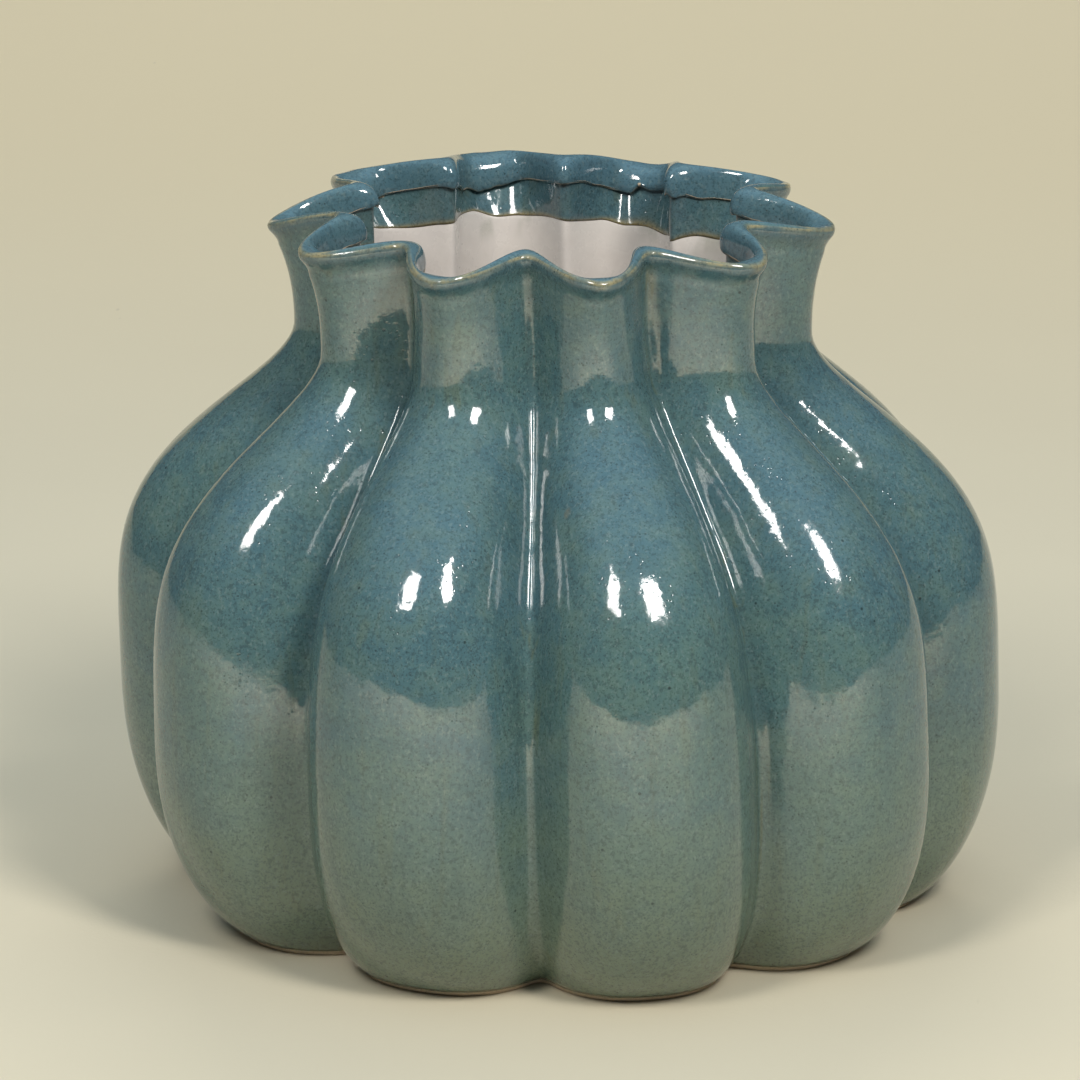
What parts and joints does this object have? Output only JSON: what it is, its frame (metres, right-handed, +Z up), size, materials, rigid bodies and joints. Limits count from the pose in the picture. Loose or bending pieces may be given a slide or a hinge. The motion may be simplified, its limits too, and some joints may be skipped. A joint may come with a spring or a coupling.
{
  "type": "lobed ceramic vase",
  "caption": "Squat pumpkin-shaped ceramic vase with soft lobes, a drawn-in neck and a flared, scalloped, rolled lip, open at the top.",
  "frame": {"origin": "on the surface the vase stands on, under the middle of its box", "axes": "+Z up; -Y points out through the front seam; +X and -X each run out through the crown of a lobe, which is the widest direction"},
  "size_m": [0.3005, 0.289, 0.2399],
  "materials": {
    "bare_stoneware": "fired unglazed buff stoneware, matt and slightly gritty",
    "teal_glaze": "gloss blue-green reactive glaze with fine dark speckle, breaking to olive yellow on edges and to olive near the foot",
    "pale_liner_glaze": "semi-gloss warm white liner glaze"
  },
  "bodies": {
    "root": {"clay_body": "bare_stoneware", "outer_glaze": "teal_glaze", "liner_glaze": "pale_liner_glaze"}
  },
  "joints": []
}
